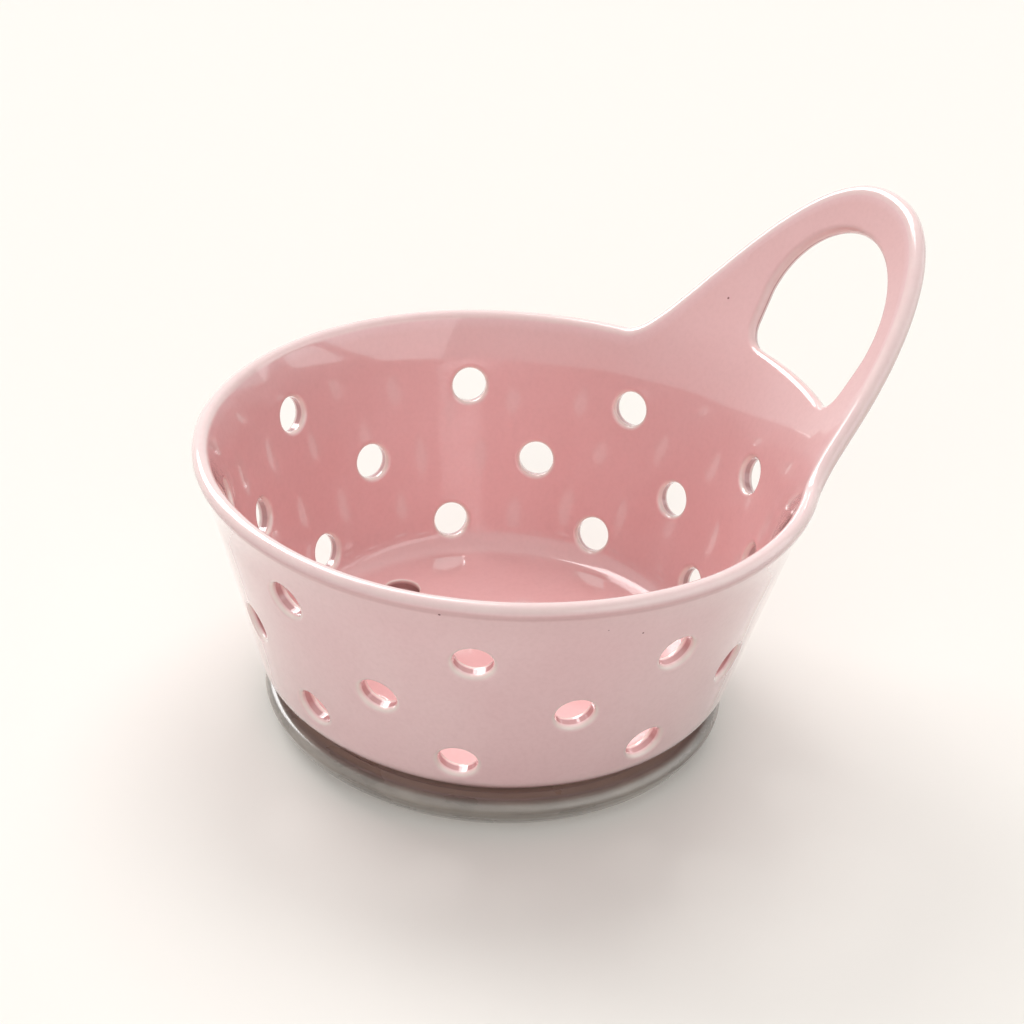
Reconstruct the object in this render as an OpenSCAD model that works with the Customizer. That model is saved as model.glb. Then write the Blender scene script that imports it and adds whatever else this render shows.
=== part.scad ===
// Berry colander bowl: a pierced ceramic bowl, its wall drawn up on one side
// into a handle with a finger loop, standing in a shallow drip saucer.
// The origin lies on the bowl's axis, on the surface that the saucer stands on.
// +Z is up and the handle points along +X.

/* [Bowl] */
// Outside diameter of the bowl at its lip
rim_d = 145.4; // [130:0.2:180]
// Height of the lip above the bowl's foot
rim_h = 64.3; // [60:0.1:72]
// Thickness of the wall
wall_t = 4; // [3.2:0.1:4.6]
// Lean of the straight wall from upright, in degrees
wall_lean = 15; // [11:0.5:17]
// Height of the band below the lip in which the wall flares
flare_h = 12; // [9:0.5:14]
// Lean of the wall where it meets the lip, in degrees
rim_lean = 26.5; // [22:0.5:30]
// Thickness of the floor above the surface that the foot stands on
floor_t = 4.5; // [4:0.1:5.5]
// Radius of the corner between the floor and the wall, inside
inside_corner_r = 7; // [5:0.5:9]
// Radius of the corner between the underside and the wall, outside
outside_corner_r = 8.5; // [6:0.5:9]

/* [Foot] */
// Outside diameter of the bowl's foot
foot_d = 97; // [88:1:98]
// Height of the foot below the body
foot_h = 2.3; // [1.5:0.1:2.6]
// Width of the ring that the bowl stands on
foot_w = 5; // [4:0.5:8]
// Depth of the hollow inside the foot ring
foot_hollow = 0.8; // [0.5:0.1:1.2]

/* [Handle] */
// Height of the handle's tip above the bowl's foot
handle_h = 112.5; // [105:0.5:122]
// Reach of the handle's tip from the bowl's axis
handle_reach = 102; // [96:0.5:110]
// Width of the handle at half its height
handle_w = 63; // [56:1:70]
// Lean of the handle at its root, in degrees
root_lean = 35.5; // [32:0.5:38]
// Height over which the wall turns from the lip's lean to the handle's
root_h = 8; // [6:0.5:12]
// Width of the bar above the finger loop, along the handle
bar_w = 13; // [10:0.1:15]
// Width of the finger loop
loop_w = 44; // [36:0.5:46]
// Height of the loop's sill above the bowl's lip
sill_h = 6; // [5:0.5:9]
// Offset of the loop's middle from the handle's middle
loop_shift = 2; // [0:0.5:3]
// Radius of the loop's lower corners
loop_corner_r = 6; // [4:0.5:9]
// Radius of the rounded edges of the loop
loop_edge_r = 1.6; // [1:0.1:1.7]

/* [Drain holes] */
// Diameter of each hole
hole_d = 8.8; // [6:0.1:9.6]
// Depth of the rounding at both ends of a hole
hole_edge = 0.6; // [0.3:0.1:0.9]
// Number of holes in each of the three rows round the wall
holes_per_row = 9; // [7:1:10]
// Height of the lowest row above the foot
low_row_h = 14; // [13:0.1:16]
// Height from one row to the next
row_step = 16.4; // [14.5:0.1:17]
// Number of holes in the ring in the floor
floor_holes = 4; // [3:1:6]
// Radius of the ring of floor holes
floor_ring_r = 37.5; // [20:0.5:38]

/* [Saucer] */
// Widest diameter of the saucer
saucer_d = 111.6; // [108:0.2:120]
// Diameter of the saucer's flat base
saucer_base_d = 102.4; // [92:0.2:104]
// Height of the ridge round the saucer's top
saucer_h = 8.2; // [8:0.1:9.2]
// Thickness of the saucer's floor
saucer_floor_t = 7.2; // [6.4:0.1:7.4]
// Radius of the rounding from the saucer's side to its ridge
saucer_lip_r = 2.2; // [1.5:0.1:2.8]
// Depth of the level band inside the ridge, below the ridge
saucer_band_drop = 0.4; // [0.2:0.1:0.5]
// Width of the step from the band down to the floor
saucer_step_w = 0.9; // [0.6:0.1:1.5]
// Rounding of the saucer's bottom edge
saucer_edge_r = 0.9; // [0.5:0.1:1.5]
// Gap between the foot and the saucer's step
foot_clear = 0.8; // [0.4:0.1:1.2]

/* [Hidden] */

glaze_colour = [0.86, 0.66, 0.66];
saucer_colour = [0.5, 0.47, 0.44];

// Overrun of every cut past the surface that it opens
cut_over = 1;
// Facets of the turned surfaces and of the holes
turn_fn = 144;
hole_fn = 32;

// Small hand-made shifts of the holes, lowest row first: the turn as a share of
// the angle between two holes, the lift as a share of the hole's diameter
turn_shares = [
    [0.08, 0, 0, 0, 0.02, 0.07, -0.03, 0.04, 0.02],
    [-0.03, -0.05, 0.03, 0.07, 0.14, 0.05, 0.06, 0.1, 0.02],
    [-0.1, -0.09, -0.12, 0.06, 0.08, 0.07, 0.04, 0.05, 0]
];
lift_shares = [
    [-0.2, -0.3, -0.3, -0.25, 0, 0.3, 0.1, 0.2, 0.05],
    [-0.25, -0.3, -0.1, 0.15, 0.1, 0.05, 0.05, -0.2, 0.2],
    [0, -0.15, -0.1, 0.2, 0.25, 0.25, 0, -0.3, 0]
];
// Turn of the first hole of the lowest row from the handle, and of the floor's ring
first_turn_share = -0.075;
floor_turn_share = 0.15;
// How quickly the handle's outline leaves the lip: 1 is a plain cosine
handle_round_share = 1.15;
// Height of the loop's widest place, as a share of the loop's own height
shoulder_share = 0.38;
// Narrowing of the loop at its sill, as a share of its half width
sill_narrow_share = 0.04;
// Sideways drift of the loop's middle for each unit of its height, as it is cut by hand
loop_slant_share = 0.15;
// The cut along the lip is this much wider than the wall
lip_cut_share = 1.08;

// Heights and slopes of the wall's middle surface, above the foot
z_flare = rim_h - flare_h;
z_rim = rim_h - wall_t / 2;
z_root = z_rim + root_h;
z_tip = handle_h - wall_t / 2;
slope_wall = tan(wall_lean);
slope_rim = tan(rim_lean);
slope_root = tan(root_lean);
r_rim = (rim_d - wall_t) / 2;
r_flare = r_rim - (z_rim - z_flare) * (slope_wall + slope_rim) / 2;
r_root = r_rim + root_h * (slope_rim + slope_root) / 2;
r_tip = handle_reach - wall_t / 2;
slope_tip = 2 * (r_tip - r_root) / (z_tip - z_root) - slope_root;

function blend(z, z0, z1, a, b) = a + (b - a) * (z - z0) / (z1 - z0);

// Slope of the middle surface, radius gained for each unit of height
function slope_at(z) =
    z <= z_flare ? slope_wall
    : z <= z_rim ? blend(z, z_flare, z_rim, slope_wall, slope_rim)
    : z <= z_root ? blend(z, z_rim, z_root, slope_rim, slope_root)
    : blend(z, z_root, z_tip, slope_root, slope_tip);

// Radius of the middle surface
function radius_at(z) =
    z <= z_flare ? r_flare + (z - z_flare) * slope_wall
    : z <= z_rim ? r_flare + (z - z_flare) * (slope_wall + slope_at(z)) / 2
    : z <= z_root ? r_rim + (z - z_rim) * (slope_rim + slope_at(z)) / 2
    : r_root + (z - z_root) * (slope_root + slope_at(z)) / 2;

function lean_at(z) = atan(slope_at(z));

// Point at a distance out from the middle surface, and up along it
function wall_point(z, out, up = 0) = [
    radius_at(z) + out * cos(lean_at(z)) + up * sin(lean_at(z)),
    z - out * sin(lean_at(z)) + up * cos(lean_at(z))
];

function turned(p, a) = [p[0] * cos(a), p[0] * sin(a), p[1]];

function arc(centre, r, from, to, steps) =
    [for (i = [0:steps]) let (a = from + (to - from) * i / steps)
        [centre[0] + r * cos(a), centre[1] + r * sin(a)]];

// Centre of a corner arc at a given height that touches the straight wall's face,
// which lies at a distance out from the middle surface
function corner_centre(z, out, r) = [
    radius_at(z) + (out - r) / cos(wall_lean),
    z
];

// The turned shell ends above the handle's tip, and the cut along the lip takes it down
z_shell = z_tip + wall_t;
shell_heights = [
    z_flare,
    z_flare + (z_rim - z_flare) / 2,
    z_rim,
    z_rim + root_h / 2,
    z_root,
    for (i = [1:4]) z_root + (z_shell - z_root) * i / 4
];
cut_reach = wall_point(z_shell, wall_t / 2)[0] + cut_over;
cut_top = z_shell + wall_t;

foot_r = foot_d / 2;
foot_edge = foot_h / 4;
outside_centre = corner_centre(foot_h + outside_corner_r + foot_h / 2, wall_t / 2, outside_corner_r);
inside_centre = corner_centre(floor_t + inside_corner_r, -wall_t / 2, inside_corner_r);
// Direction in which the outside corner ends above the foot
corner_end = -62;

function bowl_profile() = concat(
    [
        [0, foot_hollow],
        [foot_r - foot_w - foot_hollow, foot_hollow],
        [foot_r - foot_w, 0],
        [foot_r - foot_edge, 0],
        [foot_r, foot_edge],
        [foot_r, foot_h]
    ],
    arc(outside_centre, outside_corner_r, corner_end, -wall_lean, 6),
    [for (z = shell_heights) wall_point(z, wall_t / 2)],
    [for (i = [len(shell_heights) - 1:-1:0]) wall_point(shell_heights[i], -wall_t / 2)],
    arc(inside_centre, inside_corner_r, -wall_lean, -90, 6),
    [[0, floor_t]]
);

// Angle from the handle's middle at which its outline has run out into the lip
half_h = (z_rim + z_tip) / 2;
handle_spread = asin(handle_w / 2 / radius_at(half_h)) / pow(0.5, 1 / handle_round_share);

// Height of the middle of the rounded lip at an angle from the handle
function lip_at(a) =
    z_rim + (z_tip - z_rim) * (1 + cos(180 * min(1, pow(abs(a) / handle_spread, handle_round_share)))) / 2;

// Rise of the lip along the wall for each unit of length round it
function lip_climb(a) =
    (lip_at(a + 1) - lip_at(a - 1)) / cos(lean_at(lip_at(a))) / (2 * radius_at(lip_at(a)) * PI / 180);

lip_angles = concat([for (a = [-48:1.5:48]) a], [for (a = [52:4:308]) a]);

// Everything above the lip: its underside is a half-round trough that follows the lip
function lip_cut_section(a) =
    let (
        z = lip_at(a),
        stretch = sqrt(1 + pow(lip_climb(a), 2)),
        trough = [for (b = [-90:18:90])
            wall_point(z, lip_cut_share * wall_t / 2 * sin(b), stretch * wall_t / 2 * cos(b))]
    )
    concat(
        [[r_rim / 2, trough[0][1]]],
        trough,
        [[cut_reach, trough[len(trough) - 1][1]]],
        [[cut_reach, cut_top]],
        [[r_rim / 2, cut_top]]
    );

module lip_cut() {
    sections = [for (a = lip_angles) lip_cut_section(a > 180 ? a - 360 : a)];
    n = len(sections);
    m = len(sections[0]);
    polyhedron(
        points = [for (i = [0:n - 1]) for (p = sections[i]) turned(p, lip_angles[i])],
        faces = [for (i = [0:n - 1]) for (j = [0:m - 1]) for (half = [0, 1])
            let (k = (i + 1) % n, l = (j + 1) % m)
            half == 0 ? [i * m + j, i * m + l, k * m + l] : [i * m + j, k * m + l, k * m + j]]
    );
}

// The finger loop: an arched opening with a level sill, its edges rounded
loop_fall = cos(atan((slope_root + slope_tip) / 2));
z_sill = rim_h + sill_h;
loop_h = (handle_h - z_sill) / loop_fall - bar_w;
shoulder_h = loop_h * shoulder_share;

function loop_outline() = concat(
    arc([loop_w / 2 * (1 - sill_narrow_share) - loop_corner_r, loop_corner_r], loop_corner_r, -90, 0, 4),
    [for (b = [0:10:180]) [loop_w / 2 * cos(b), shoulder_h + (loop_h - shoulder_h) * sin(b)]],
    arc([loop_corner_r - loop_w / 2 * (1 - sill_narrow_share), loop_corner_r], loop_corner_r, 180, 270, 4),
    [for (i = [1:7]) [(i / 4 - 1) * (loop_w / 2 * (1 - sill_narrow_share) - loop_corner_r), 0]]
);

// A point of the loop's outline, grown outwards, at a distance out from the middle surface
function loop_point(p, grow, out) =
    let (
        s = loop_h / 2 + (p[1] - loop_h / 2) * (1 + 2 * grow / loop_h),
        w = p[0] * (1 + 2 * grow / loop_w) + loop_slant_share * (s - loop_h / 2) - loop_shift,
        z = z_sill + s * loop_fall
    )
    turned(wall_point(z, out), w / radius_at(z) * 180 / PI);

// Steps through the rounding of an edge, each a share of its radius
edge_shares = [0, 0.45, 0.75, 0.92, 1.08];

module loop_cut() {
    outline = loop_outline();
    inner = wall_t / 2 - loop_edge_r;
    half = concat(
        [for (e = edge_shares) [
            inner + e * loop_edge_r,
            loop_edge_r * (1 - sqrt(max(0, 1 - pow(e / max(edge_shares), 2))))
        ]],
        [[wall_t / 2 + cut_over, loop_edge_r]],
        [[wall_t * 3 / 2, loop_edge_r]]
    );
    count = len(half);
    levels = concat(
        [for (i = [count - 1:-1:0]) [-half[i][0], half[i][1]]],
        half
    );
    n = len(levels);
    m = len(outline);
    middle = [0, loop_h / 2];
    polyhedron(
        points = concat(
            [for (v = levels) for (p = outline) loop_point(p, v[1], v[0])],
            [loop_point(middle, 0, levels[0][0]), loop_point(middle, 0, levels[n - 1][0])]
        ),
        faces = concat(
            [for (i = [0:n - 2]) for (j = [0:m - 1]) for (side = [0, 1])
                let (k = i + 1, l = (j + 1) % m)
                side == 0 ? [i * m + j, k * m + l, i * m + l] : [i * m + j, k * m + j, k * m + l]],
            [for (j = [0:m - 1]) [n * m, j, (j + 1) % m]],
            [for (j = [0:m - 1]) [n * m + 1, (n - 1) * m + (j + 1) % m, (n - 1) * m + j]]
        )
    );
}

// A hole with its edges eased at both faces, along the z axis through the origin
module hole_cut(through) {
    reach = through / 2 + cut_over;
    rotate_extrude($fn = hole_fn)
        polygon([
            [0, -reach],
            [hole_d / 2 + hole_edge + cut_over, -reach],
            [hole_d / 2, hole_edge - through / 2],
            [hole_d / 2, through / 2 - hole_edge],
            [hole_d / 2 + hole_edge + cut_over, reach],
            [0, reach]
        ]);
}

function hole_turn(row, i) =
    (i + first_turn_share + row % 2 / 2 + turn_shares[row][i % len(turn_shares[row])]) * 360 / holes_per_row;

function hole_height(row, i) =
    low_row_h + row * row_step + lift_shares[row][i % len(lift_shares[row])] * hole_d;

module wall_holes() {
    for (row = [0:2], i = [0:holes_per_row - 1])
        rotate([0, 0, hole_turn(row, i)])
            translate([radius_at(hole_height(row, i)), 0, hole_height(row, i)])
                rotate([0, 90 + wall_lean, 0])
                    hole_cut(wall_t);
}

module floor_hole_cuts() {
    deep = floor_t - foot_hollow;
    for (i = [0:floor_holes - 1])
        rotate([0, 0, (i + floor_turn_share) * 360 / floor_holes])
            translate([floor_ring_r, 0, foot_hollow + deep / 2])
                hole_cut(deep);
}

module colander_bowl() {
    color(glaze_colour)
        translate([0, 0, saucer_floor_t])
            difference() {
                rotate_extrude($fn = turn_fn)
                    polygon(bowl_profile());
                lip_cut();
                loop_cut();
                wall_holes();
                floor_hole_cuts();
            }
}

saucer_r = saucer_d / 2;
saucer_base_r = saucer_base_d / 2;
saucer_lip_centre = [saucer_r - saucer_lip_r, saucer_h - saucer_lip_r];
seat_r = foot_r + foot_clear;
saucer_band_z = saucer_h - saucer_band_drop;
// Run of the slope from the ridge down to the band, for each unit of its drop
band_run_share = 3;
// The outer wall bows out by this share of its straight line's length
saucer_bow_share = 0.06;

function saucer_side(t) =
    let (
        low = [saucer_base_r + saucer_edge_r, saucer_edge_r],
        high = [saucer_r, saucer_h - saucer_lip_r],
        bow = saucer_bow_share * norm(high - low) * 4 * t * (1 - t)
    )
    low + (high - low) * t + [bow, -bow];

function saucer_profile() = concat(
    [
        [0, 0],
        [saucer_base_r, 0]
    ],
    [for (i = [0:5]) saucer_side(i / 5)],
    arc(saucer_lip_centre, saucer_lip_r, 18, 90, 6),
    [
        [saucer_lip_centre[0] - band_run_share * saucer_band_drop, saucer_band_z],
        [seat_r + saucer_step_w, saucer_band_z],
        [seat_r, saucer_floor_t],
        [0, saucer_floor_t]
    ]
);

module drip_saucer() {
    color(saucer_colour)
        rotate_extrude($fn = turn_fn)
            polygon(saucer_profile());
}

colander_bowl();
drip_saucer();
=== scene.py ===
import math

import bmesh
import bpy
import numpy as np
from mathutils import Matrix, Vector, noise


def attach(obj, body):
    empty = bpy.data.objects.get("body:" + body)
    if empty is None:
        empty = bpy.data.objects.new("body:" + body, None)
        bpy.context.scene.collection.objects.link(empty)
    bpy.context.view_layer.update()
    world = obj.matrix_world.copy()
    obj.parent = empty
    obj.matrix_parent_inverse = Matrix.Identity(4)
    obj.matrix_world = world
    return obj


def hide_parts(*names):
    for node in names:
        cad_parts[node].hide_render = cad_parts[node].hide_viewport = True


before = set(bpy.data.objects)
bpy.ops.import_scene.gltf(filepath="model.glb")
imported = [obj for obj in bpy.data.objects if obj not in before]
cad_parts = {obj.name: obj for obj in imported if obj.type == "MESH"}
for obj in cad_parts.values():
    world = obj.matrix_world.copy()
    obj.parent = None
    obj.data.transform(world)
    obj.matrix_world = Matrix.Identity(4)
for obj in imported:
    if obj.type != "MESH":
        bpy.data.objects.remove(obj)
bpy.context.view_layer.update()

# Metres in a millimetre: the shapes are worked out in millimetres
MM = 0.001
FULL_TURN = 2 * math.pi

# Sizes of the bowl, with heights counted from its own foot
RIM_D = 145.4
RIM_H = 64.3
WALL_T = 4
WALL_LEAN = math.radians(15)
FLARE_H = 12
RIM_LEAN = math.radians(26.5)
FLOOR_T = 4.5
INSIDE_CORNER_R = 7
OUTSIDE_CORNER_R = 8.5
FOOT_R = 48.5
FOOT_H = 2.3
FOOT_W = 5
FOOT_HOLLOW = 0.8
HANDLE_H = 112.5
HANDLE_REACH = 102
HANDLE_W = 63
HANDLE_ROUND = 1.15
ROOT_LEAN = math.radians(35.5)
ROOT_H = 8

# Finger loop, with its corners, its slant and its narrowing
BAR_W = 13
LOOP_W = 44
SILL_H = 6
LOOP_SHIFT = 2
LOOP_CORNER_R = 6
LOOP_SLANT = 0.15
LOOP_SHOULDER = 0.38
SILL_NARROW = 0.04

# Drain holes: turns as shares of the angle between two holes, lifts as shares of a hole's diameter
HOLE_R = 4.4
HOLES_PER_ROW = 9
LOW_ROW_H = 14
ROW_STEP = 16.4
FIRST_TURN = -0.075
TURN_SHARES = [
    [0.08, 0, 0, 0, 0.02, 0.07, -0.03, 0.04, 0.02],
    [-0.03, -0.05, 0.03, 0.07, 0.14, 0.05, 0.06, 0.1, 0.02],
    [-0.1, -0.09, -0.12, 0.06, 0.08, 0.07, 0.04, 0.05, 0],
]
LIFT_SHARES = [
    [-0.2, -0.3, -0.3, -0.25, 0, 0.3, 0.1, 0.2, 0.05],
    [-0.25, -0.3, -0.1, 0.15, 0.1, 0.05, 0.05, -0.2, 0.2],
    [0, -0.15, -0.1, 0.2, 0.25, 0.25, 0, -0.3, 0],
]
FLOOR_HOLES = 4
FLOOR_RING_R = 37.5
FLOOR_TURN = 0.15

# Radii of the glazed edges
HOLE_EDGE_R = 1.1
FLOOR_EDGE_R = 0.6
LOOP_EDGE_R = 1.7

# Sizes of the saucer
SAUCER_R = 55.8
SAUCER_BASE_R = 51.2
SAUCER_H = 8.2
SAUCER_FLOOR = 7.2
SAUCER_LIP_R = 2.2
SAUCER_BAND_DROP = 0.4
SAUCER_BAND_RUN = 3
SAUCER_STEP_W = 0.9
SAUCER_EDGE_R = 0.9
SAUCER_BOW = 0.06
SEAT_R = FOOT_R + 0.8
RIDGE_R = SAUCER_R - SAUCER_LIP_R

# Hand-made unevenness: width and depth of its bends and dents, and the height over which it comes in
HAND_WIDE = 40 * MM
HAND_BEND = 0.3 * MM
HAND_NARROW = 12 * MM
HAND_DENT = 0.05 * MM
HAND_FREE = 15 * MM
HAND_SEED = 3

# Grid of the wall: columns round it, rows up to GRID_HIGH, and rows that rise with the lip
COLUMNS = 288
GRID_LOW = 5
GRID_HIGH = 56
WALL_ROWS = 40
RISE_ROWS = 18
CORNER_ROWS = 18
CORNER_WIDE_ROWS = 12
ARC_STEPS = 12
# Direction in which the outside corner's arc ends above the foot
CORNER_END = math.radians(-62)

# Distances from an edge at which its rounding has a row of points
LIP_STEPS = [2.3, 1.75, 1.2, 0.7, 0.3, 0.06, 0]
HOLE_STEPS = [0, 0.08, 0.3, 0.65, 1.1, 1.5]
LOOP_STEPS = [0, 0.1, 0.4, 0.85, 1.3, 1.75, 2.3]
FLOOR_STEPS = [0, 0.08, 0.25, 0.5, 0.7]
# Rows of points through a hole, where 1 is the outer face and -1 the inner face
HOLE_TUNNEL = (0.6, 0.2, -0.2, -0.6)
LOOP_TUNNEL = (0.5, -0.5)
FLOOR_TUNNEL = (0.5, 0, -0.5)
# Distance from the lip that is given to points nowhere near it
FAR = 99

# Half the columns and rows of the grid that a hole's own ring of faces takes up
HOLE_COLUMNS = 6
HOLE_ROWS = 5
# Columns and rows that the finger loop's ring of faces takes up, and shares at which its last rows lie
LOOP_COLUMNS = (-19, 16)
LOOP_ROWS = (3, 17)
LOOP_SHARES = (0.22, 0.48, 0.74)
# Steps of the loop's arch, the angle up it that goes with the grid's corner, and the reach of a tangent
ARCH_STEPS = 60
ARCH_CORNER = math.radians(25)
TANGENT = 0.8
# Radii and rows of the floor's grid, half the columns that a floor hole takes up, and the floor's middle
FLOOR_GRID_R = (42.35, 31)
FLOOR_GRID_ROWS = 8
FLOOR_HOLE_COLUMNS = 5
MIDDLE_ROWS = 10
MIDDLE_R = 2.4
MIDDLE_COLUMNS = 36
# Width of a face under which the floor's columns are halved. On the saucer it is half of that
NARROWEST = 1.3
# Distance in metres under which two points are one
MERGE = 1e-6
# Rows of the saucer's edge and of its flat faces, where those begin and end, steps up its side, and where
# its ridge's arc starts
SAUCER_ROWS = 44
SAUCER_FLAT_ROWS = 16
SAUCER_MIDDLE_R = 2
SAUCER_BASE_EDGE = 2
SAUCER_SIDE_STEPS = 8
SAUCER_SEAT_GAP = 1.5
RIDGE_START = math.radians(18)

# Wear of the glaze by the distance over a rounded edge, as a share of the edge's radius
WEAR_PLACES = [0, 0.1, 0.4, 0.7]
WEAR_LEVELS = [0.5, 1, 1, 0]
# Wear on the finger loop, as a share of that on a hole
LOOP_WEAR = 0.3

# Colours
GLAZE = (0.87, 0.565, 0.582, 1)
GLAZE_PALE = (0.9, 0.62, 0.632, 1)
# Deeper rose inside the bowl: painted shade and painted pink bounced light
GLAZE_INSIDE_SHADE = (0.82, 0.475, 0.47, 1)
# Deep rose: the colour of specks, and of painted shade in the holes' tunnels and under the lip
GLAZE_DEEP = (0.48, 0.2, 0.2, 1)
CREAM = (0.93, 0.81, 0.75, 1)
PINHOLE = (0.2, 0.05, 0.05, 1)
STONE_DARK = (0.2, 0.178, 0.155, 1)
STONE_PALE = (0.355, 0.315, 0.275, 1)
STONE_GRAIN = (0.3, 0.26, 0.22, 1)
# Brown inside the ridge: partly the stoneware's own tone, partly painted shade and painted pink light under
# the bowl
STONE_BROWN_AND_SHADE = (0.48, 0.37, 0.29, 1)
FLOOR = (0.71, 0.683, 0.647, 1)
BACKDROP = (1, 0.97, 0.92, 1)
WORLD = (1, 0.98, 0.95, 1)

# Blotches: the noise's scale, the two levels between which it spreads, and its detail
GLAZE_CLOUDS = (38, 0.3, 0.7, 3)
GLAZE_SPECKS = (900, 0.4, 0.8, 2)
GLAZE_UNEVEN = (260, 0.3, 0.7, 2)
STONE_CLOUDS = (55, 0.35, 0.65, 5)
STONE_SPECKS = (1100, 0.4, 0.75, 2)
# How many times wider than high the saucer's blotches are
STONE_FLAT = 4

# Distances from the lip, negative inside, at which its pale band and the groove under it start, are full,
# fade and end
LIP_BAND = (-2.8, -1.8, 0.2, 1.1)
# The groove's band is also darkened, as painted shade on the underside of the lip
GROOVE_SHADE_BAND = (0.7, 1.4, 2, 3.2)
# Distances from the lip over which the glaze takes on its deeper inside colour, painted shade and painted
# pink bounced light in the bowl
INSIDE_SHADE_START = -1
INSIDE_SHADE_FULL = -5

# Shares of the glaze's further colours. A pair is a factor for its unevenness and what is added to that
INSIDE_SHADE_CLOUDS = -0.2
SPECK_SHARE = 0.08
# Darkening in the holes' tunnels is painted shade
TUNNEL_SHADE_SHARE = 0.8
HALO_SHARE = (0.3, 0.7)
LIP_SHARE = (0.15, 0.3)
# Darkening of the groove under the lip: painted shade
GROOVE_SHADE_SHARE = 0.4
# Shares of the saucer's further colours, and the distances inside its ridge at which it turns brown: partly
# its own tone, partly painted shade and painted pink light from the bowl
STONE_SPECK_SHARE = 0.3
BROWN_SHADE_SHARE = (-0.3, 0.75)
BROWN_SHADE_START = 0.3
BROWN_SHADE_FULL = 2.5

# Dark pinholes in the glaze: where each one is, and its radius. Its edge is soft between two shares of that
PINHOLES = [
    ((73.6, 26.8, 84.9), 0.3), ((-9.8, -69.6, 63.5), 0.25),
    ((-1.2, -69.3, 60.8), 0.25), ((-43.5, -57.7, 68.2), 0.3),
]
PINHOLE_EDGE = (1.2, 0.7)

# Surfaces: roughness and other settings of the shaders
GLAZE_ROUGH = (0.1, 0.14)
GLAZE_SHINE = {"Coat Weight": 1, "Coat IOR": 1.6, "Coat Roughness": 0.05}
STONE_ROUGH = (0.24, 0.36)
STONE_SHINE = {
    "Coat Weight": 1, "Coat IOR": 1.6, "Coat Roughness": 0.2, "Sheen Weight": 0.2, "Sheen Roughness": 0.25,
}
FLOOR_SURFACE = {
    "Base Color": FLOOR, "Roughness": 0.9, "Specular IOR Level": 0.1, "Emission Color": BACKDROP,
}

# Bumps: strength and depth in metres
WAVE_BUMP = {"Strength": 0.1, "Distance": 0.0006}
GROOVE_BUMP = {"Strength": 0.5, "Distance": 0.0002}
PEEL_BUMP = {"Strength": 0.02, "Distance": 0.0002}
STONE_BUMP = {"Strength": 0.12, "Distance": 0.0004}
WAVES = {"Scale": 90, "Detail": 1}
PEEL = {"Scale": 1300, "Detail": 1}
# Height of a turning mark on the saucer, and what its clouds and specks add to the marks
MARK_H = 1.9
CLOUD_BUMP = 1.5
SPECK_BUMP = 0.5

# The floor's half width in metres, its own glow, and the world's strength as a light
FLOOR_REACH = 15
FLOOR_GLOW = 0.18
WORLD_POWER = 0.25

# The camera, and the level directions to the right of its view and straight away from it
CAMERA = Vector((-217.4, -416.8, 323.3)) * MM
AIM = Vector((4, 3.4, 49.7)) * MM
ROLL = math.radians(3.72)
SENSOR = 36
LENS = 2300 / 1024 * SENSOR
AHEAD = (AIM - CAMERA).normalized()
LEVEL = AHEAD.cross(Vector((0, 0, 1))).normalized()
AWAY = LEVEL.cross(Vector((0, 0, -1)))

# Lamps: kind, then turn, height and distance as from_side takes them, power, settings, and the rays that
# don't see the lamp
SIDE_PANEL = {"shape": "RECTANGLE", "size": 2.2, "size_y": 0.9}
LAMPS = {
    "window": ("SUN", (-42, 36, 1), 1.4, {"angle": math.radians(34)}, ""),
    "high": ("SUN", (10, 60, 1), 1.3, {"angle": math.radians(36)}, "visible_glossy"),
    "top": ("SUN", (0, 88, 1), 0.5, {"angle": math.radians(60)}, "visible_glossy"),
    "front": ("SUN", (185, 34, 1), 0.78, {"angle": math.radians(60)}, "visible_glossy"),
    "side": ("AREA", (108, 22, 1.2), 4.5, SIDE_PANEL, "visible_diffuse"),
    "gleam": ("AREA", (-35, 52, 1.4), 9, {"size": 0.8}, "visible_diffuse"),
}

# Heights, slopes and radii at which the middle surface of the wall changes its bend
Z_FLARE = RIM_H - FLARE_H
Z_RIM = RIM_H - WALL_T / 2
Z_ROOT = Z_RIM + ROOT_H
Z_TIP = HANDLE_H - WALL_T / 2
S_WALL = math.tan(WALL_LEAN)
S_RIM = math.tan(RIM_LEAN)
S_ROOT = math.tan(ROOT_LEAN)
R_RIM = (RIM_D - WALL_T) / 2
R_FLARE = R_RIM - (Z_RIM - Z_FLARE) * (S_WALL + S_RIM) / 2
R_ROOT = R_RIM + ROOT_H * (S_RIM + S_ROOT) / 2
R_TIP = HANDLE_REACH - WALL_T / 2
S_TIP = 2 * (R_TIP - R_ROOT) / (Z_TIP - Z_ROOT) - S_ROOT
BEND_Z = [Z_FLARE, Z_RIM, Z_ROOT, Z_TIP]
BEND_S = [S_WALL, S_RIM, S_ROOT, S_TIP]
BEND_R = [R_FLARE, R_RIM, R_ROOT, R_TIP]


def slope_at(z):
    return np.interp(z, BEND_Z, BEND_S)


def radius_at(z):
    """Radius of the wall's middle surface at a height above the foot."""
    z = np.asarray(z, float)
    r = R_FLARE + (z - Z_FLARE) * S_WALL
    for z0, z1, s0, s1, r0 in zip(BEND_Z, BEND_Z[1:], BEND_S, BEND_S[1:], BEND_R):
        s = s0 + (s1 - s0) * (z - z0) / (z1 - z0)
        r = np.where(z > z0, r0 + (z - z0) * (s0 + s) / 2, r)
    return r


HANDLE_SPREAD = math.asin(HANDLE_W / 2 / radius_at((Z_RIM + Z_TIP) / 2)) / 0.5 ** (1 / HANDLE_ROUND)


def near_zero(turn):
    """The same direction as an angle between minus and plus half a turn."""
    return (turn + math.pi) % FULL_TURN - math.pi


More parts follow.
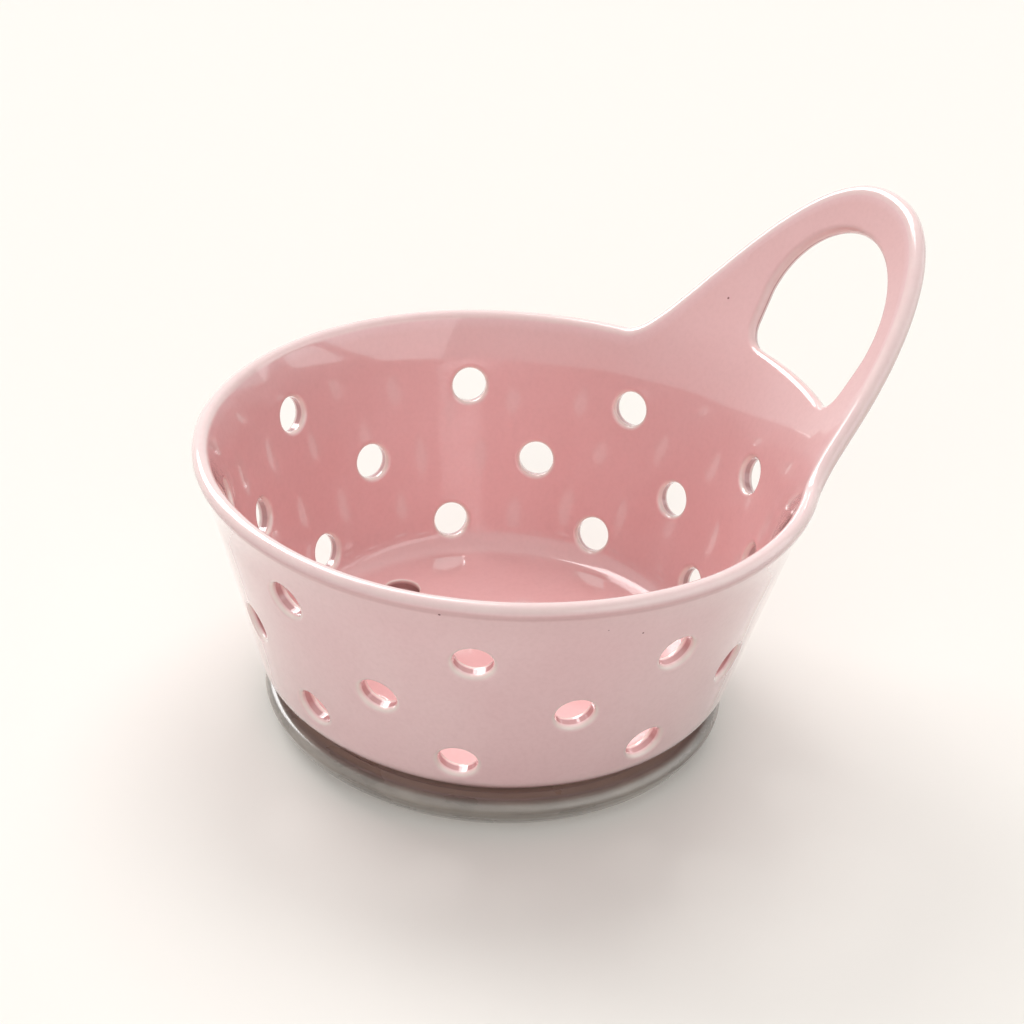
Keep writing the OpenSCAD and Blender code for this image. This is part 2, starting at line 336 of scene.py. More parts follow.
def lip_at(turn):
    """Height of the middle of the rounded lip at an angle from the handle."""
    share = np.minimum(1, (np.abs(near_zero(np.asarray(turn))) / HANDLE_SPREAD) ** HANDLE_ROUND)
    return Z_RIM + (Z_TIP - Z_RIM) * (1 + np.cos(math.pi * share)) / 2


def lip_stretch(turn):
    """Length of lip for each unit of length round the bowl."""
    z = lip_at(turn)
    step = math.radians(1)
    rise = (lip_at(turn + step) - lip_at(turn - step)) / np.cos(np.arctan(slope_at(z)))
    return np.sqrt(1 + (rise / (2 * step * radius_at(z))) ** 2)


def corner_centre(height, out, r):
    """Centre of a corner's arc that touches the straight wall's face."""
    return float(radius_at(height)) + (out - r) / math.cos(WALL_LEAN), height


OUTSIDE_CENTRE = corner_centre(FOOT_H * 1.5 + OUTSIDE_CORNER_R, WALL_T / 2, OUTSIDE_CORNER_R)
INSIDE_CENTRE = corner_centre(FLOOR_T + INSIDE_CORNER_R, -WALL_T / 2, INSIDE_CORNER_R)


def along_wall(z, centre):
    """Length up the straight wall from the level of a corner's centre."""
    return (radius_at(z) - centre[0]) * math.sin(WALL_LEAN) + (z - centre[1]) * math.cos(WALL_LEAN)


def turned_in(z, centre, r):
    """How far a face has turned in from the straight wall's line, below its corner's start."""
    return r - np.sqrt(r * r - np.minimum(along_wall(z, centre), 0) ** 2)


def rounding(edge, r):
    """How far a face sinks at a distance from its rounded edge."""
    return r - np.sqrt(r * r - np.maximum(r - edge, 0) ** 2)


def wall_points(turn, z, edge, r, side):
    """Points of the wall: side 1 is its outer face, -1 its inner face, and between them a hole's tunnel."""
    lean = np.arctan(slope_at(z))
    half = WALL_T / 2 - rounding(edge, r)
    outer = half - turned_in(z, OUTSIDE_CENTRE, OUTSIDE_CORNER_R)
    inner = -half - turned_in(z, INSIDE_CENTRE, INSIDE_CORNER_R)
    out = inner + (outer - inner) * (side + 1) / 2
    radius = radius_at(z) + out * np.cos(lean)
    return np.stack([radius * np.cos(turn), radius * np.sin(turn), z - out * np.sin(lean)], 1)


def floor_points(x, y, edge, side):
    """Points of the floor: side 1 is its underside, -1 its upper face."""
    sink = rounding(edge, FLOOR_EDGE_R)
    top = FLOOR_T - sink
    under = FOOT_HOLLOW + sink
    return np.stack([x, y, top + (under - top) * (side + 1) / 2 + 0 * x], 1)


def gone_along(points):
    """Length along a line at each of its points."""
    return np.concatenate([[0], np.cumsum(np.linalg.norm(np.diff(points, axis=0), axis=1))])


def place_along(at, gone, points):
    """Points of a line at the given lengths along it."""
    return np.stack([np.interp(at, gone, points[:, k]) for k in (0, 1)], 1)


def spaced(points, count):
    """That many points at even steps along a line through the given points, after its first."""
    points = np.array(points, float)
    gone = gone_along(points)
    return place_along(np.linspace(0, gone[-1], count + 1)[1:], gone, points)


def arc(centre, r, start, end):
    return [
        (centre[0] + r * math.cos(a), centre[1] + r * math.sin(a))
        for a in np.linspace(start, end, ARC_STEPS + 1)
    ]


def round_turns(n):
    """Angles of a ring of n points round the axis."""
    return np.arange(n) * FULL_TURN / n


def strip(low, high):
    """Faces between two closed rows, where the second has as many points as the first or a half of them."""
    step = len(low) // len(high)
    faces = []
    for i in range(len(high)):
        k = (i + 1) % len(high)
        row = [low[(i * step + s) % len(low)] for s in range(step + 1)]
        faces.append([int(v) for v in row + [high[k], high[i]]])
    return faces


class Shell:
    """A sheet of faces that has an outer and an inner copy, joined through its holes and at its lip."""

    def __init__(self):
        self.points = ([], [])
        self.wear_and_tunnel_shade = []
        self.lip = []
        self.count = 0
        self.faces = []
        self.tunnels = []

    def add(self, outer, inner, wear_and_tunnel_shade=0, lip=FAR):
        """Adds points with their wear and their distance from the lip. Gives their numbers."""
        first = self.count
        self.count += len(outer)
        self.points[0].append(outer)
        self.points[1].append(inner)
        self.wear_and_tunnel_shade.append(np.zeros(len(outer)) + wear_and_tunnel_shade)
        self.lip.append(np.zeros(len(outer)) + lip)
        return np.arange(first, self.count)

    def face(self, numbers):
        self.faces.append([int(v) for v in numbers])

    def rings(self, layers):
        """Faces between rings of points, each the neighbour of the next."""
        for low, high in zip(layers, layers[1:]):
            self.faces += strip(low, high)

    def inwards(self, row, ring):
        """Faces from a row to the next one down the wall or further in on the floor. Gives that one."""
        self.faces += [f[::-1] for f in strip(row, ring)]
        return ring

    def tunnel(self, ring, between):
        """Joins the two copies through the ring of a hole, with rows of points between them."""
        self.tunnels.append((ring, between))

    def build(self, name):
        """The closed mesh, with attributes: wear, -1 in a tunnel where shade is painted, and lip_gap,
        negative inside the bowl.
        """
        n = self.count
        points = [np.concatenate(p) for p in self.points]
        wear_and_tunnel_shade = [np.concatenate(self.wear_and_tunnel_shade)] * 2
        lip = [np.concatenate(self.lip), -np.concatenate(self.lip)]
        faces = self.faces + [[v + n for v in reversed(f)] for f in self.faces]
        total = 2 * n
        for ring, between in self.tunnels:
            rows = [ring]
            for extra in between:
                rows.append(np.arange(total, total + len(ring)))
                points.append(extra)
                wear_and_tunnel_shade.append(np.full(len(ring), -1.0))
                lip.append(np.full(len(ring), float(FAR)))
                total += len(ring)
            rows.append(ring + n)
            for low, high in zip(rows, rows[1:]):
                faces += strip(low, high)
        points = np.concatenate(points)
        mesh = bpy.data.meshes.new(name)
        mesh.from_pydata((points * MM).tolist(), [], faces)
        for key, values in (("wear_and_tunnel_shade", wear_and_tunnel_shade), ("lip_gap", lip)):
            layer = mesh.attributes.new(key, "FLOAT", "POINT")
            layer.data.foreach_set("value", np.concatenate(values).astype(np.float32))
        return mesh


def wear_at(edge, r):
    """Wear of the glaze over a rounded edge, most on the middle of the rounding."""
    return np.interp(np.asarray(edge) / r, WEAR_PLACES, WEAR_LEVELS)


def block_ring(grid, rows, columns):
    """Numbers round a block of the grid, anticlockwise from its lower left corner."""
    (j0, j1), (i0, i1) = rows, columns
    n = grid.shape[1]
    low = [grid[j0, i % n] for i in range(i0, i1)]
    right = [grid[j, i1 % n] for j in range(j0, j1)]
    high = [grid[j1, i % n] for i in range(i1, i0, -1)]
    left = [grid[j, i0 % n] for j in range(j1, j0, -1)]
    return np.array(low + right + high + left)


def ring_angles(rows, columns):
    """Evenly spaced angles that go with a block's ring, for a hole in the block's middle."""
    wide, high = columns[1] - columns[0], rows[1] - rows[0]
    n = 2 * (wide + high)
    return -math.pi / 2 + (np.arange(n) - wide / 2) * FULL_TURN / n


def hole_places():
    """Turn and height of each hole in the wall."""
    places = []
    for row, (turns, lifts) in enumerate(zip(TURN_SHARES, LIFT_SHARES)):
        for i, (shift, lift) in enumerate(zip(turns, lifts)):
            turn = (i + FIRST_TURN + row % 2 / 2 + shift) * FULL_TURN / HOLES_PER_ROW
            places.append((turn, LOW_ROW_H + row * ROW_STEP + lift * 2 * HOLE_R))
    return places


def wall_grid():
    """Turns and heights of the wall's grid, with each point's distance from the lip."""
    turn = round_turns(COLUMNS)
    lip, fall = lip_at(turn), np.cos(np.arctan(slope_at(lip_at(turn))))
    reach = fall * lip_stretch(turn)
    crest = lip + WALL_T / 2 * reach
    heights = [np.full(COLUMNS, z) for z in np.linspace(GRID_LOW, GRID_HIGH, WALL_ROWS + 1)]
    top = crest - LIP_STEPS[0] * reach
    heights += [GRID_HIGH + (top - GRID_HIGH) * k / RISE_ROWS for k in range(1, RISE_ROWS + 1)]
    heights += [crest - step * reach for step in LIP_STEPS[1:]]
    heights = np.array(heights)
    return np.tile(turn, (len(heights), 1)), heights, (crest - heights) / reach


def hole_ring(shell, turn, z, ring, angles, places):
    """The faces from a hole in the wall out to its block of the grid."""
    layers = []
    for step in HOLE_STEPS:
        z_ring = z + (HOLE_R + step) * np.sin(angles) * math.cos(WALL_LEAN)
        turn_ring = turn + np.arcsin((HOLE_R + step) * np.cos(angles) / radius_at(z_ring))
        sides = [wall_points(turn_ring, z_ring, step, HOLE_EDGE_R, s) for s in (1, -1)]
        layers.append(shell.add(*sides, wear_at(step, HOLE_EDGE_R)))
        if step == 0:
            between = [wall_points(turn_ring, z_ring, 0, HOLE_EDGE_R, s) for s in HOLE_TUNNEL]
            shell.tunnel(layers[0], between)
    turn_out, z_out = places[0][ring], places[1][ring]
    turn_out = turn_ring + near_zero(turn_out - turn_ring)
    middle = ((turn_ring + turn_out) / 2, (z_ring + z_out) / 2)
    sides = [wall_points(*middle, HOLE_EDGE_R, HOLE_EDGE_R, s) for s in (1, -1)]
    layers.append(shell.add(*sides))
    shell.rings([ring] + layers[::-1])


def loop_line(height):
    """The finger loop's closed outline as (across, up the wall), anticlockwise."""
    shoulder = height * LOOP_SHOULDER
    base = LOOP_W / 2 * (1 - SILL_NARROW) - LOOP_CORNER_R
    line = arc((base, LOOP_CORNER_R), LOOP_CORNER_R, -math.pi / 2, 0)
    line += [
        (LOOP_W / 2 * math.cos(b), shoulder + (height - shoulder) * math.sin(b))
        for b in np.linspace(0, math.pi, ARCH_STEPS + 1)
    ]
    line += arc((-base, LOOP_CORNER_R), LOOP_CORNER_R, math.pi, 3 * math.pi / 2)
    return np.array(line + [line[0]])


def loop_lengths(gone):
    """Lengths along the loop's outline that go with the points of its block's ring."""
    wide, high = LOOP_COLUMNS[1] - LOOP_COLUMNS[0], LOOP_ROWS[1] - LOOP_ROWS[0]
    corner = gone[ARC_STEPS // 2]
    arch = ARC_STEPS + 1
    share = ARCH_CORNER / math.pi
    right = gone[arch + round(ARCH_STEPS * share)]
    left = gone[arch + round(ARCH_STEPS * (1 - share))]
    start = gone[arch + ARCH_STEPS + 1 + ARC_STEPS // 2] - gone[-1]
    return np.concatenate([
        np.linspace(start, corner, wide, endpoint=False),
        np.linspace(corner, right, high, endpoint=False),
        np.linspace(right, left, wide, endpoint=False),
        np.linspace(left, start + gone[-1], high, endpoint=False),
    ])


def loop_ring(shell, ring, places):
    """The faces from the finger loop out to its block of the grid."""
    fall = math.cos(math.atan((S_ROOT + S_TIP) / 2))
    height = (HANDLE_H - RIM_H - SILL_H) / fall - BAR_W
    line = loop_line(height)
    gone = gone_along(line)
    at = loop_lengths(gone)
    lengths = [np.mod(at + shift, gone[-1]) for shift in (0, -TANGENT, TANGENT)]
    on_line, behind, ahead = [place_along(length, gone, line) for length in lengths]
    along = ahead - behind
    away = np.stack([along[:, 1], -along[:, 0]], 1) / np.linalg.norm(along, axis=1)[:, None]
    layers = []
    for step in LOOP_STEPS:
        point = on_line + step * away
        z = RIM_H + SILL_H + point[:, 1] * fall
        turn = (point[:, 0] + LOOP_SLANT * (point[:, 1] - height / 2) - LOOP_SHIFT) / radius_at(z)
        sides = [wall_points(turn, z, step, LOOP_EDGE_R, s) for s in (1, -1)]
        layers.append(shell.add(*sides, wear_at(step, LOOP_EDGE_R) * LOOP_WEAR))
        if step == 0:
            between = [wall_points(turn, z, 0, LOOP_EDGE_R, s) for s in LOOP_TUNNEL]
            shell.tunnel(layers[0], between)
    turn_out, z_out = near_zero(places[0][ring]), places[1][ring]
    for share in LOOP_SHARES:
        spot = (turn + (turn_out - turn) * share, z + (z_out - z) * share)
        sides = [wall_points(*spot, LOOP_EDGE_R, LOOP_EDGE_R, s) for s in (1, -1)]
        layers.append(shell.add(*sides))
    shell.rings([ring] + layers[::-1])


def grid_faces(shell, grid, blocks):
    """Faces of a grid closed round the bowl, but for the cells of its blocks."""
    rows, n = grid.shape
    left_out = np.zeros((rows - 1, n), bool)
    for (j0, j1), (i0, i1) in blocks:
        left_out[j0:j1, np.arange(i0, i1) % n] = True
    for j in range(rows - 1):
        for i in range(n):
            if not left_out[j, i]:
                k = (i + 1) % n
                shell.face((grid[j, i], grid[j, k], grid[j + 1, k], grid[j + 1, i]))


def bowl_wall(shell):
    """The pierced wall, from its lower corner up to the lip. Gives its lowest row."""
    turns, heights, lip = wall_grid()
    places = [turns.ravel(), heights.ravel()]
    edge = np.clip(lip.ravel(), 0, WALL_T / 2)
    sides = [wall_points(*places, edge, WALL_T / 2, s) for s in (1, -1)]
    grid = shell.add(*sides, lip=lip.ravel()).reshape(heights.shape)
    blocks = []
    row_h = (GRID_HIGH - GRID_LOW) / WALL_ROWS
    for turn, z in hole_places():
        i = round(turn / FULL_TURN * COLUMNS)
        j = round((z - GRID_LOW) / row_h)
        block = ((j - HOLE_ROWS, j + HOLE_ROWS), (i - HOLE_COLUMNS, i + HOLE_COLUMNS))
        hole_ring(shell, turn, z, block_ring(grid, *block), ring_angles(*block), places)
        blocks.append(block)
    block = (tuple(WALL_ROWS + j for j in LOOP_ROWS), LOOP_COLUMNS)
    loop_ring(shell, block_ring(grid, *block), places)
    blocks.append(block)
    grid_faces(shell, grid, blocks)
    return grid[0]


def ring_pair(outer, inner, n):
    """A ring of points on each face from one point of each profile, as (radius, height)."""
    turn = round_turns(n)
    return [np.stack([r * np.cos(turn), r * np.sin(turn), z + 0 * turn], 1) for r, z in (outer, inner)]


def bowl_corner(shell, row):
    """The corner and the foot ring between the wall's lowest row and the floor. Gives its last row."""
    bend_out = math.asin(along_wall(GRID_LOW, OUTSIDE_CENTRE) / OUTSIDE_CORNER_R) - WALL_LEAN
    bend_in = math.asin(along_wall(GRID_LOW, INSIDE_CENTRE) / INSIDE_CORNER_R) - WALL_LEAN
    inside_foot = FOOT_R - FOOT_W
    outer = arc(OUTSIDE_CENTRE, OUTSIDE_CORNER_R, bend_out, CORNER_END)
    outer += [(FOOT_R, FOOT_H), (FOOT_R, FOOT_H / 4), (FOOT_R - FOOT_H / 4, 0), (inside_foot, 0)]
    outer += [(inside_foot - FOOT_HOLLOW, FOOT_HOLLOW), (FLOOR_GRID_R[0], FOOT_HOLLOW)]
    inner = arc(INSIDE_CENTRE, INSIDE_CORNER_R, bend_in, -math.pi / 2) + [(FLOOR_GRID_R[0], FLOOR_T)]
    for k, pair in enumerate(zip(spaced(outer, CORNER_ROWS), spaced(inner, CORNER_ROWS))):
        n = COLUMNS if k < CORNER_WIDE_ROWS else COLUMNS // 2
        row = shell.inwards(row, shell.add(*ring_pair(*pair, n)))
    return row


def floor_hole(shell, x, y, ring, angles):
    """The faces from a hole in the floor out to the given ring."""
    layers = []
    for step in FLOOR_STEPS:
        xs = x + (HOLE_R + step) * np.cos(angles)
        ys = y + (HOLE_R + step) * np.sin(angles)
        sides = [floor_points(xs, ys, step, s) for s in (1, -1)]
        layers.append(shell.add(*sides, wear_at(step, FLOOR_EDGE_R)))
        if step == 0:
            shell.tunnel(layers[0], [floor_points(xs, ys, 0, s) for s in FLOOR_TUNNEL])
    shell.rings([ring] + layers[::-1])


def floor_ring(shell, r, n):
    """A ring of points round the floor's middle."""
    turn = round_turns(n)
    return shell.add(*[floor_points(r * np.cos(turn), r * np.sin(turn), FLOOR_EDGE_R, s) for s in (1, -1)])


def bowl_floor(shell, row):
    """The floor with its drain holes, from the corner's last row inwards."""
    n = len(row)
    rows = [row]
    for r in np.linspace(*FLOOR_GRID_R, FLOOR_GRID_ROWS + 1)[1:]:
        rows.append(floor_ring(shell, r, n))
    # The grid's rows run outwards, as the wall's rows run upwards
    grid = np.array(rows[::-1])
    blocks = []
    for i in range(FLOOR_HOLES):
        turn = (i + FLOOR_TURN) * FULL_TURN / FLOOR_HOLES
        k = round(turn / FULL_TURN * n)
        block = ((0, FLOOR_GRID_ROWS), (k - FLOOR_HOLE_COLUMNS, k + FLOOR_HOLE_COLUMNS))
        angles = turn + math.pi / 2 - ring_angles(*block)
        place = (FLOOR_RING_R * math.cos(turn), FLOOR_RING_R * math.sin(turn))
        floor_hole(shell, *place, block_ring(grid, *block), angles)
        blocks.append(block)
    grid_faces(shell, grid, blocks)
    row = grid[0]
    for r in np.linspace(FLOOR_GRID_R[1], MIDDLE_R, MIDDLE_ROWS + 1)[1:]:
        if FULL_TURN * r / n < NARROWEST and n > MIDDLE_COLUMNS:
            n //= 2
        row = shell.inwards(row, floor_ring(shell, r, n))
    shell.face(row[::-1])


def hand_made(mesh, base):
    """Bends a mesh a little, as clay is, but not near its base."""
    noise.seed_set(HAND_SEED)
    for v in mesh.vertices:
        free = min(1, max(0, (v.co.z - base) / HAND_FREE))
        v.co += noise.noise_vector(v.co / HAND_WIDE + Vector((HAND_SEED, 0, 0))) * HAND_BEND * free
        v.co += noise.noise_vector(v.co / HAND_NARROW + Vector((0, HAND_SEED, 0))) * HAND_DENT * free


def smooth_object(name, mesh):
    """An object of the mesh, with smooth shading and one level of subdivision."""
    work = bmesh.new()
    work.from_mesh(mesh)
    bmesh.ops.remove_doubles(work, verts=work.verts, dist=MERGE)
    work.to_mesh(mesh)
    work.free()
    mesh.shade_smooth()
    obj = bpy.data.objects.new(name, mesh)
    bpy.context.scene.collection.objects.link(obj)
    smoother = obj.modifiers.new("smooth", "SUBSURF")
    smoother.levels = 1
    smoother.render_levels = 1
    return obj


def make_bowl():
    shell = Shell()
    row = bowl_wall(shell)
    row = bowl_corner(shell, row)
    bowl_floor(shell, row)
    mesh = shell.build("colander_bowl_glazed")
    mesh.transform(Matrix.Translation((0, 0, SAUCER_FLOOR * MM)))
    hand_made(mesh, SAUCER_FLOOR * MM)
    bowl = smooth_object("glazed_bowl", mesh)
    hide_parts("colander_bowl")
    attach(bowl, "bowl")
    return bowl


def saucer_profile():
    """The saucer's profile as (radius, height): out from under its middle, up to its lip, and back in."""
    low = np.array([SAUCER_BASE_R + SAUCER_EDGE_R, SAUCER_EDGE_R])
    high = np.array([SAUCER_R, SAUCER_H - SAUCER_LIP_R])
    bow = SAUCER_BOW * np.linalg.norm(high - low) * 4
    side = []
    for t in np.linspace(0, 1, SAUCER_SIDE_STEPS + 1):
        side.append(tuple(low + (high - low) * t + bow * t * (1 - t) * np.array([1, -1])))
    lip = arc((RIDGE_R, SAUCER_H - SAUCER_LIP_R), SAUCER_LIP_R, RIDGE_START, math.pi / 2)
    band_z = SAUCER_H - SAUCER_BAND_DROP
    lip += [(RIDGE_R - SAUCER_BAND_RUN * SAUCER_BAND_DROP, band_z), (SEAT_R + SAUCER_STEP_W, band_z)]
    lip += [(SEAT_R, SAUCER_FLOOR)]
    under = np.linspace(SAUCER_MIDDLE_R, SAUCER_BASE_R - SAUCER_BASE_EDGE, SAUCER_FLAT_ROWS)
    edge = spaced([(under[-1], 0), (SAUCER_BASE_R, 0)] + side + lip, SAUCER_ROWS)
    floor = np.linspace(SEAT_R - SAUCER_SEAT_GAP, SAUCER_MIDDLE_R, SAUCER_FLAT_ROWS)
    return [(r, 0) for r in under] + [tuple(p) for p in edge] + [(r, SAUCER_FLOOR) for r in floor]


def make_saucer():
    points, rings, faces = [], [], []
    for r, z in saucer_profile():
        n = COLUMNS
        while FULL_TURN * r / n < NARROWEST / 2 and n > MIDDLE_COLUMNS:
            n //= 2
        rings.append(np.arange(len(points), len(points) + n))
        points += [(r * math.cos(a) * MM, r * math.sin(a) * MM, z * MM) for a in round_turns(n)]
    for low, high in zip(rings, rings[1:]):
        if len(high) > len(low):
            faces += [f[::-1] for f in strip(high, low)]
        else:
            faces += strip(low, high)
    faces += [[int(v) for v in rings[0][::-1]], [int(v) for v in rings[-1]]]
    mesh = bpy.data.meshes.new("drip_saucer_turned")
    mesh.from_pydata(points, [], faces)
    saucer = smooth_object("turned_saucer", mesh)
    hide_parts("drip_saucer")
    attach(saucer, "saucer")
    return saucer


def fill(tree, made, inputs):
    """Gives a node its inputs, as values or as sockets to link."""
    for key, value in inputs.items():
        if isinstance(value, bpy.types.NodeSocket):
            tree.links.new(value, made.inputs[key])
        else:
            made.inputs[key].default_value = value


def node(tree, kind, inputs=None, **settings):
    """A shader node with its settings and its inputs."""
    made = tree.nodes.new(kind)
    for key, value in settings.items():
        setattr(made, key, value)
    fill(tree, made, inputs or {})
    return made


def new_material(name):
    """A material with its tree and its shader."""
    material = bpy.data.materials.new(name)
    material.use_nodes = True
    tree = material.node_tree
    return material, tree, next(n for n in tree.nodes if n.type == "BSDF_PRINCIPLED")


def ramp(tree, value, start, end, low=0, high=1, kind="LINEAR"):
    """A value that runs from low to high as the given one goes from start to end, and stays there."""
    spread = {"Value": value, "From Min": start, "From Max": end, "To Min": low, "To Max": high}
    return node(tree, "ShaderNodeMapRange", spread, interpolation_type=kind).outputs["Result"]


def blotches(tree, where, scale, low, high, detail):
    """Noise spread from 0 to 1 between the two levels."""
    made = node(tree, "ShaderNodeTexNoise", {"Vector": where, "Scale": scale, "Detail": detail})
    return ramp(tree, made.outputs["Fac"], low, high)


def mixed(tree, share, first, second):
    """A colour between two colours."""
    return node(tree, "ShaderNodeMix", {0: share, 6: first, 7: second}, data_type="RGBA").outputs[2]


def maths(tree, operation, *values, clamped=False):
    inputs = dict(enumerate(values))
    return node(tree, "ShaderNodeMath", inputs, operation=operation, use_clamp=clamped).outputs[0]


def band(tree, value, start, full, fade, end):
    """1 where the value lies between full and fade, running out to 0 at start and end."""
    up = ramp(tree, value, start, full, kind="SMOOTHSTEP")
    down = ramp(tree, value, end, fade, kind="SMOOTHSTEP")
    return maths(tree, "MULTIPLY", up, down)


def bumped(tree, height, settings, normal=None, sunk=False):
    """The normal of a surface raised by a height, or sunk by it, over another normal."""
    inputs = {"Height": height, **settings}
    if normal:
        inputs["Normal"] = normal
    return node(tree, "ShaderNodeBump", inputs, invert=sunk).outputs["Normal"]


def glaze():
    """Glossy pink glaze, paler where it runs thin over the edges, with a few dark pinholes. Shade is
    painted in: deeper inside the bowl, in the holes' tunnels and under the lip.
    """
    material, tree, shader = new_material("pink_glaze")
    where = node(tree, "ShaderNodeTexCoord").outputs["Object"]
    gap = node(tree, "ShaderNodeAttribute", attribute_name="lip_gap").outputs["Fac"]
    wear_and_tunnel_shade = node(tree, "ShaderNodeAttribute", attribute_name="wear_and_tunnel_shade").outputs["Fac"]
    cloudy = blotches(tree, where, *GLAZE_CLOUDS)
    specks = blotches(tree, where, *GLAZE_SPECKS)
    uneven = blotches(tree, where, *GLAZE_UNEVEN)
    # Deeper inside the bowl, unevenly with the clouds: painted shade and painted pink bounced light
    inside_shade = ramp(tree, gap, INSIDE_SHADE_START, INSIDE_SHADE_FULL)
    inside_shade = maths(tree, "MULTIPLY", inside_shade, maths(tree, "MULTIPLY_ADD", cloudy, INSIDE_SHADE_CLOUDS, 1))
    # Tunnel points, with wear at -1, are darkened: painted shade inside the holes
    tunnel = maths(tree, "MULTIPLY", wear_and_tunnel_shade, -TUNNEL_SHADE_SHARE, clamped=True)
    halo = maths(tree, "MULTIPLY", wear_and_tunnel_shade, maths(tree, "MULTIPLY_ADD", uneven, *HALO_SHARE), clamped=True)
    edge = band(tree, gap, *LIP_BAND)
    edge = maths(tree, "MULTIPLY", edge, maths(tree, "MULTIPLY_ADD", uneven, *LIP_SHARE))
    # A sunk groove under the lip, darkened as painted shade on the lip's underside
    groove_and_shade = band(tree, gap, *GROOVE_SHADE_BAND)
    layers = [
        (inside_shade, GLAZE_INSIDE_SHADE),
        (maths(tree, "MULTIPLY", specks, SPECK_SHARE), GLAZE_DEEP),
        (tunnel, GLAZE_DEEP),
        (halo, CREAM),
        (edge, CREAM),
        (maths(tree, "MULTIPLY", groove_and_shade, GROOVE_SHADE_SHARE), GLAZE_DEEP),
    ]
    for spot, size in PINHOLES:
        spot = [c * MM for c in spot]
        away = node(tree, "ShaderNodeVectorMath", {0: where, 1: spot}, operation="DISTANCE")
        ends = [size * MM * share for share in PINHOLE_EDGE]
        layers.append((ramp(tree, away.outputs["Value"], *ends), PINHOLE))
    colour = mixed(tree, cloudy, GLAZE, GLAZE_PALE)
    for share, second in layers:
        colour = mixed(tree, share, colour, second)
    waves = node(tree, "ShaderNodeTexNoise", {"Vector": where, **WAVES}).outputs["Fac"]
    peel = node(tree, "ShaderNodeTexNoise", {"Vector": where, **PEEL}).outputs["Fac"]
    normal = bumped(tree, waves, WAVE_BUMP)
    normal = bumped(tree, groove_and_shade, GROOVE_BUMP, normal, sunk=True)
    normal = bumped(tree, peel, PEEL_BUMP, normal)
    rough = ramp(tree, cloudy, 0, 1, *GLAZE_ROUGH)
    fill(tree, shader, {"Base Color": colour, "Roughness": rough, "Normal": normal, **GLAZE_SHINE})
    return material


def stoneware():
    """Satin grey-brown stoneware, mottled round its side and browner inside its ridge, partly its own tone
    and partly painted shade and painted pink light from the bowl above.
    """
    material, tree, shader = new_material("grey_stoneware")
    where = node(tree, "ShaderNodeTexCoord").outputs["Object"]
    stretch = {0: where, 1: (1, 1, STONE_FLAT)}
    flat = node(tree, "ShaderNodeVectorMath", stretch, operation="MULTIPLY").outputs["Vector"]
    cloudy = blotches(tree, flat, *STONE_CLOUDS)
    specks = blotches(tree, where, *STONE_SPECKS)
    split = node(tree, "ShaderNodeSeparateXYZ", {"Vector": where}).outputs
    level = node(tree, "ShaderNodeCombineXYZ", {"X": split["X"], "Y": split["Y"]}).outputs["Vector"]
    radius = node(tree, "ShaderNodeVectorMath", {0: level}, operation="LENGTH").outputs["Value"]
    ends = [RIDGE_R * MM - inside * MM for inside in (BROWN_SHADE_START, BROWN_SHADE_FULL)]
    inside = ramp(tree, radius, *ends, kind="SMOOTHSTEP")
    # Browner under the bowl: partly its own tone, partly painted shade and painted pink light from the bowl
    brown_and_shade = maths(tree, "MULTIPLY", inside, maths(tree, "MULTIPLY_ADD", cloudy, *BROWN_SHADE_SHARE))
    colour = mixed(tree, cloudy, STONE_DARK, STONE_PALE)
    colour = mixed(tree, maths(tree, "MULTIPLY", specks, STONE_SPECK_SHARE), colour, STONE_GRAIN)
    colour = mixed(tree, brown_and_shade, colour, STONE_BROWN_AND_SHADE)
    marks = maths(tree, "SINE", maths(tree, "MULTIPLY", split["Z"], FULL_TURN / (MARK_H * MM)))
    marks = maths(tree, "MULTIPLY_ADD", specks, SPECK_BUMP, marks)
    normal = bumped(tree, maths(tree, "MULTIPLY_ADD", cloudy, CLOUD_BUMP, marks), STONE_BUMP)
    rough = ramp(tree, cloudy, 0, 1, *STONE_ROUGH)
    fill(tree, shader, {"Base Color": colour, "Roughness": rough, "Normal": normal, **STONE_SHINE})
    return material


def paint(obj, material):
    obj.data.materials.clear()
    obj.data.materials.append(material)


def in_view(tree):
    """1 for what the camera sees, also in a reflection or through glass, and 0 for light on the object."""
    rays = node(tree, "ShaderNodeLightPath").outputs
    seen = maths(tree, "ADD", rays["Is Camera Ray"], rays["Is Glossy Ray"])
    return maths(tree, "ADD", seen, rays["Is Transmission Ray"], clamped=True)


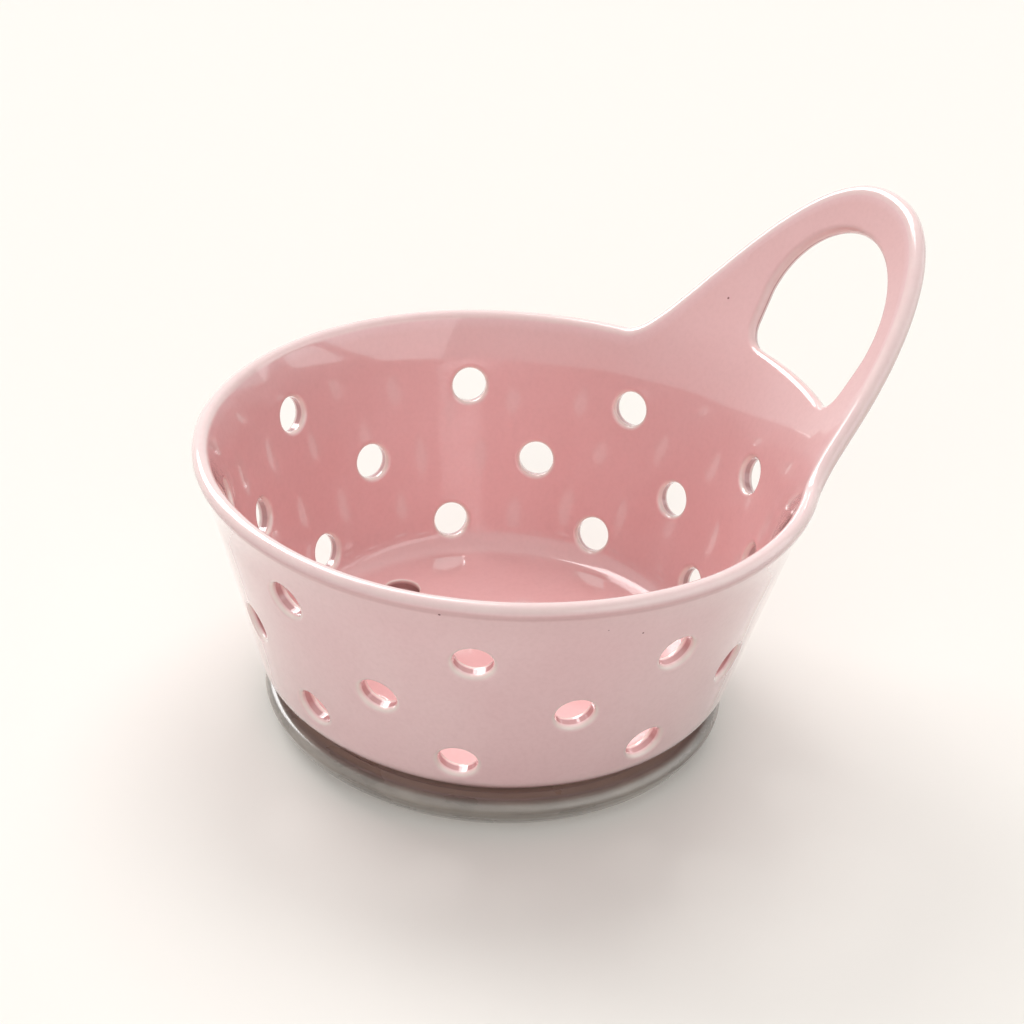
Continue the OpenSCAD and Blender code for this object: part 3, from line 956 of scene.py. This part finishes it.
def make_floor():
    """A pale floor that keeps the object's shadow."""
    corners = ((-1, -1), (1, -1), (1, 1), (-1, 1))
    mesh = bpy.data.meshes.new("floor")
    mesh.from_pydata([(x * FLOOR_REACH, y * FLOOR_REACH, 0) for x, y in corners], [], [(0, 1, 2, 3)])
    floor = bpy.data.objects.new("floor", mesh)
    bpy.context.scene.collection.objects.link(floor)
    material, tree, shader = new_material("paper")
    glow = maths(tree, "MULTIPLY", in_view(tree), FLOOR_GLOW)
    fill(tree, shader, {"Emission Strength": glow, **FLOOR_SURFACE})
    paint(floor, material)


def make_camera():
    """The camera at the photograph's viewing angle."""
    right = LEVEL * math.cos(ROLL) + LEVEL.cross(AHEAD) * math.sin(ROLL)
    up = right.cross(AHEAD)
    data = bpy.data.cameras.new("camera")
    data.lens = LENS
    data.sensor_width = SENSOR
    camera = bpy.data.objects.new("camera", data)
    camera.matrix_world = Matrix((
        (right.x, up.x, -AHEAD.x, CAMERA.x),
        (right.y, up.y, -AHEAD.y, CAMERA.y),
        (right.z, up.z, -AHEAD.z, CAMERA.z),
        (0, 0, 0, 1),
    ))
    bpy.context.scene.collection.objects.link(camera)
    bpy.context.scene.camera = camera


def from_side(turn, height, distance):
    """A place round the object's middle: degrees right of straight away from the camera, and degrees up."""
    turn, height = math.radians(turn), math.radians(height)
    flat = LEVEL * math.sin(turn) + AWAY * math.cos(turn)
    return AIM + (flat * math.cos(height) + Vector((0, 0, math.sin(height)))) * distance


def make_lamp(name, kind, side, power, settings, unseen_by):
    """A lamp that looks at the object's middle."""
    data = bpy.data.lights.new(name, kind)
    data.energy = power
    for key, value in settings.items():
        setattr(data, key, value)
    lamp = bpy.data.objects.new(name, data)
    lamp.location = from_side(*side)
    lamp.rotation_euler = (AIM - from_side(*side)).to_track_quat("-Z", "Y").to_euler()
    if unseen_by:
        setattr(lamp, unseen_by, False)
    bpy.context.scene.collection.objects.link(lamp)


def make_world():
    world = bpy.data.worlds.new("studio")
    world.use_nodes = True
    tree = world.node_tree
    power = maths(tree, "MULTIPLY_ADD", in_view(tree), 1 - WORLD_POWER, WORLD_POWER)
    fill(tree, next(n for n in tree.nodes if n.type == "BACKGROUND"), {"Color": WORLD, "Strength": power})
    bpy.context.scene.world = world


paint(make_bowl(), glaze())
paint(make_saucer(), stoneware())
make_floor()
make_camera()
for lamp_name, lamp in LAMPS.items():
    make_lamp(lamp_name, *lamp)
make_world()
bpy.context.scene.view_settings.view_transform = "Standard"
